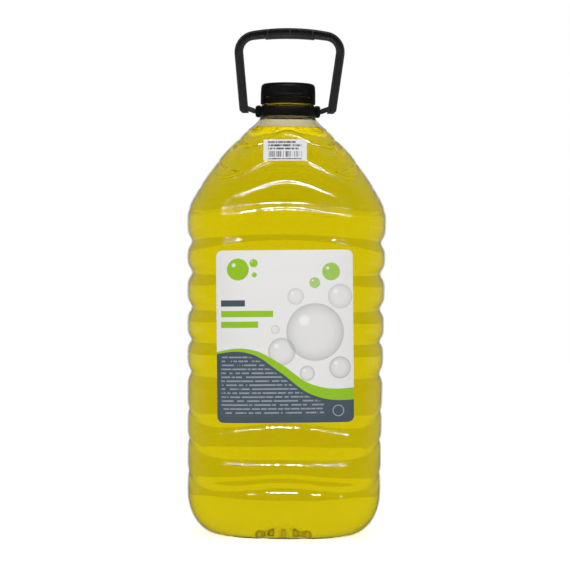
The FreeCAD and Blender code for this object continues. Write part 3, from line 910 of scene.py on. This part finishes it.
def makeThread(name, radius, outwards, low, material):
    # a ridge swept along a screw line: height climbs by one lead a turn, and the ridge fades at its ends
    points, faces, count = [], [], 0
    steps = thread["steps"]
    share = np.linspace(0, 1, steps)
    for start in range(thread["starts"]):
        angle = 2 * np.pi * (start / thread["starts"] + share * thread["turnsEach"])
        middle = low + thread["lead"] * share * thread["turnsEach"]
        fade = ease(share / 0.08) * ease((1 - share) / 0.08)
        section = np.array([(-0.15, -1.3), (0.55, -0.9), (1.0, -0.35), (1.0, 0.35), (0.55, 0.9), (-0.15, 1.3)])
        stand = section[:, 0][None] * (outwards * (0.15 + 0.85 * fade))[:, None]
        rise = section[:, 1][None] * thread["halfWidth"] * (0.3 + 0.7 * fade)[:, None]
        r = radius + stand
        a = angle[:, None] + 0 * r
        grid = np.stack([r * np.sin(a), -r * np.cos(a), middle[:, None] + rise], -1)
        points.append(grid.reshape(-1, 3))
        quads = gridFaces(steps, 6)
        quads = (quads if outwards > 0 else quads[:, ::-1]) + count
        faces += quads.tolist()
        first = [count + index for index in range(6)]
        last = [count + (steps - 1) * 6 + index for index in range(6)]
        if outwards > 0:
            faces += [first[::-1], last]
        else:
            faces += [first, last[::-1]]
        count += steps * 6
    return finishMesh(name, np.vstack(points), faces, material, 40)


screwCap = makeCap()
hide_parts("cap", "cap_top")
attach(screwCap, "screw_cap")

tamperBand = makeBand()
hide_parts("tamper_band")
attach(tamperBand, "container")

neckThread = makeThread("neckThread", neck["finishRadius"], thread["neckHigh"], thread["neckLow"], petNeckPaintedGlow)
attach(neckThread, "container")

capThread = makeThread("capThread", cap["innerRadius"], -thread["capHigh"], thread["neckLow"] + 1.5, capBlack)
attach(capThread, "screw_cap")

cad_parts["cap_liner"].data.materials.clear()
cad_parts["cap_liner"].data.materials.append(linerFoam)
print("cap, band and threads made")


# the carry handle is copied from the CAD solids, with softer edges
handle = {
    "mergeDistance": 0.00002,
    "collarEdge": 0.6,
    "bailEdge": 0.45,
    "bailLean": 0.018,        # the loose bail stands a little to the right, by this share of its height
    "hinge": 318.8,
    "segments": 3,
}


def leaning(lean):
    # x grows with the height above the hinge
    matrix = Matrix.Identity(4)
    matrix[0][2] = lean
    matrix[0][3] = -lean * handle["hinge"] * mm
    return matrix


def softenedCopy(node, name, edge, material, lean=0):
    # the CAD node's loose triangles, joined at their corners, with a small bevel on every real edge
    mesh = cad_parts[node].data.copy()
    mesh.name = name
    work = bmesh.new()
    work.from_mesh(mesh)
    bmesh.ops.remove_doubles(work, verts=work.verts, dist=handle["mergeDistance"])
    bmesh.ops.dissolve_limit(work, angle_limit=math.radians(0.5), verts=work.verts, edges=work.edges)
    bmesh.ops.transform(work, matrix=leaning(lean), verts=work.verts)
    work.to_mesh(mesh)
    work.free()
    mesh.materials.clear()
    mesh.materials.append(material)
    mesh.polygons.foreach_set("use_smooth", np.ones(len(mesh.polygons), dtype=bool))
    obj = bpy.data.objects.new(name, mesh)
    bpy.context.scene.collection.objects.link(obj)
    bevel = obj.modifiers.new("softEdges", "BEVEL")
    bevel.width = edge * mm
    bevel.segments = handle["segments"]
    bevel.limit_method = "ANGLE"
    bevel.angle_limit = math.radians(32)
    bevel.use_clamp_overlap = True
    bevel.harden_normals = True
    return obj


handleCollar = softenedCopy("handle_collar", "handleCollar", handle["collarEdge"], collarBlack)
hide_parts("handle_collar")
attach(handleCollar, "collar")

handleBail = softenedCopy("handle_bail", "handleBail", handle["bailEdge"], handleBlack, handle["bailLean"])
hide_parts("handle_bail")
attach(handleBail, "bail")
print("handle made")


studio = {
    "floorHalf": 6.0,
    "floorShade": 0.84,
    "floorLift": 0.62,        # added for the camera, so bare floor is white and the shadow stays
    "ambient": 0.5,
    "throughFloor": 0.8,      # what the soap shows of the floor, and of the room above
    "throughTop": 0.86,
    "mirrorFront": 0.03,      # what the gloss shows of the room behind the camera, and of the bright back
    "mirrorBack": 0.2,
    "underGlow": 1.5,         # extra light through the soap from the floor under the bottle
    "lamps": [
        # name, place, width, height, watts, number of bright spots along it, lights matt surfaces
        ("stripLamp", (0, -2.43, 2.2), 9.0, 0.022, 62.0, 44, False),
        ("sparkLamp", (-0.05, -2.43, 2.15), 0.9, 0.3, 9.0, 5, False),
        ("softLamp", (0, -1.6, 1.25), 1.5, 0.6, 15.0, 0, True),
    ],
    "aim": (0, 0, 0.2),
}

view = {
    "distance": 2.076,
    "across": -0.0007,
    "height": 0.1765,
    "roll": 0.6,
    "lens": 173.7,
    "shiftUp": 0.0263,
}


def makeFloor():
    half = studio["floorHalf"] / mm
    line = np.linspace(-half, half, 9)
    grid = np.stack(np.meshgrid(line, line, indexing="xy"), -1).reshape(-1, 2)
    points = np.column_stack([grid, np.full(len(grid), -0.05)])
    faces = gridFaces(9, 9, around=False).tolist()
    material, tree, output = newMaterial("paleFloor")
    place = addNode(tree, "TexCoord").outputs["Object"]
    speck = addNode(tree, "TexNoise", {"Vector": place, "Scale": 30.0, "Detail": 2.0})
    shade = studio["floorShade"]
    tone = mixColour(tree, speck.outputs[0], (shade, shade, shade, 1), (shade + 0.01, shade + 0.01, shade + 0.01, 1))
    diffuse = addNode(tree, "BsdfDiffuse", {"Color": tone})
    rays = addNode(tree, "LightPath")
    lift = calc(tree, "MULTIPLY", rays.outputs["Is Camera Ray"], studio["floorLift"])
    glow = addNode(tree, "Emission", {"Color": (1, 1, 1, 1), "Strength": lift})
    shown = addNode(tree, "AddShader", {0: diffuse.outputs[0], 1: glow.outputs[0]})
    far = addNode(tree, "VectorMath", {0: place}, operation="LENGTH").outputs["Value"]
    under = addNode(tree, "MapRange", {
        "Value": far, "From Min": 0.03, "From Max": 0.1, "To Min": studio["throughFloor"] + studio["underGlow"],
        "To Max": studio["throughFloor"]}, interpolation_type="SMOOTHSTEP")
    white = addNode(tree, "Emission", {"Color": (1, 1, 1, 1), "Strength": under.outputs[0]})
    back = addNode(tree, "MapRange", {
        "Value": addNode(tree, "SeparateXYZ", {"Vector": place}).outputs["Y"], "From Min": -0.2, "From Max": 1.2,
        "To Min": studio["mirrorFront"], "To Max": studio["mirrorBack"]})
    dim = addNode(tree, "Emission", {"Color": (1, 1, 1, 1), "Strength": back.outputs[0]})
    mirrored = addNode(tree, "MixShader", {
        0: rays.outputs["Is Glossy Ray"], 1: shown.outputs[0], 2: dim.outputs[0]})
    through = addNode(tree, "MixShader", {
        0: rays.outputs["Is Transmission Ray"], 1: mirrored.outputs[0], 2: white.outputs[0]})
    tree.links.new(through.outputs[0], output.inputs["Surface"])
    floor = finishMesh("paleFloor", points, faces, material)
    return floor


def makeWorld():
    world = bpy.data.worlds.new("plainStudio")
    bpy.context.scene.world = world
    world.use_nodes = True
    tree = world.node_tree
    tree.nodes.clear()
    output = tree.nodes.new("ShaderNodeOutputWorld")
    rays = addNode(tree, "LightPath")
    # the direction of the ray: y is away from the camera and z is up
    way = addNode(tree, "SeparateXYZ", {"Vector": addNode(tree, "TexCoord").outputs["Generated"]})
    through = addNode(tree, "MapRange", {
        "Value": way.outputs["Z"], "From Min": 0.1, "From Max": 0.7,
        "To Min": 1.0, "To Max": studio["throughTop"]}).outputs[0]
    mirrored = addNode(tree, "MapRange", {
        "Value": way.outputs["Y"], "From Min": 0.1, "From Max": 0.85,
        "To Min": studio["mirrorFront"], "To Max": studio["mirrorBack"]}).outputs[0]
    strength = studio["ambient"]
    for ray, shown in (("Is Glossy Ray", mirrored), ("Is Transmission Ray", through), ("Is Camera Ray", 1.0)):
        pick = addNode(tree, "Mix", {0: rays.outputs[ray], 2: strength, 3: shown})
        strength = pick.outputs[0]
    light = addNode(tree, "Background", {"Color": (1, 1, 1, 1), "Strength": strength})
    tree.links.new(light.outputs[0], output.inputs["Surface"])


def makeLamps():
    aim = Vector(studio["aim"])
    for name, place, width, height, watts, spots, matt in studio["lamps"]:
        data = bpy.data.lights.new(name, "AREA")
        data.shape = "RECTANGLE"
        data.size, data.size_y = width, height
        data.energy = watts
        if spots:
            # a strip of small lamps in a row
            data.use_nodes = True
            tree = data.node_tree
            tree.nodes.clear()
            output = tree.nodes.new("ShaderNodeOutputLight")
            spot = addNode(tree, "NewGeometry").outputs["Parametric"]
            along = addNode(tree, "SeparateXYZ", {"Vector": spot}).outputs[0]
            phase = calc(tree, "MULTIPLY", along, spots * 2 * math.pi)
            wave = calc(tree, "MULTIPLY", calc(tree, "ADD", calc(tree, "SINE", phase), 1.0), 0.5)
            strength = calc(tree, "ADD", calc(tree, "MULTIPLY", calc(tree, "POWER", wave, 2.0), 2.4), 0.1)
            glow = addNode(tree, "Emission", {"Strength": strength})
            tree.links.new(glow.outputs[0], output.inputs["Surface"])
        lamp = bpy.data.objects.new(name, data)
        bpy.context.scene.collection.objects.link(lamp)
        lamp.visible_diffuse = matt
        lamp.visible_glossy = not matt
        lamp.visible_transmission = False
        lamp.location = place
        lamp.rotation_euler = (aim - lamp.location).to_track_quat("-Z", "Y").to_euler()


def makeCamera():
    data = bpy.data.cameras.new("photoCamera")
    data.sensor_width = 36
    data.lens = view["lens"]
    data.shift_y = view["shiftUp"]
    data.clip_start, data.clip_end = 0.05, 50
    camera = bpy.data.objects.new("photoCamera", data)
    bpy.context.scene.collection.objects.link(camera)
    place = Matrix.Translation((view["across"], -view["distance"], view["height"]))
    upright = Matrix.Rotation(math.radians(90), 4, "X")
    roll = Matrix.Rotation(math.radians(view["roll"]), 4, "Z")
    camera.matrix_world = place @ upright @ roll
    bpy.context.scene.camera = camera


makeFloor()
makeWorld()
makeLamps()
makeCamera()
bpy.context.scene.view_settings.view_transform = "Standard"
print("stage set")
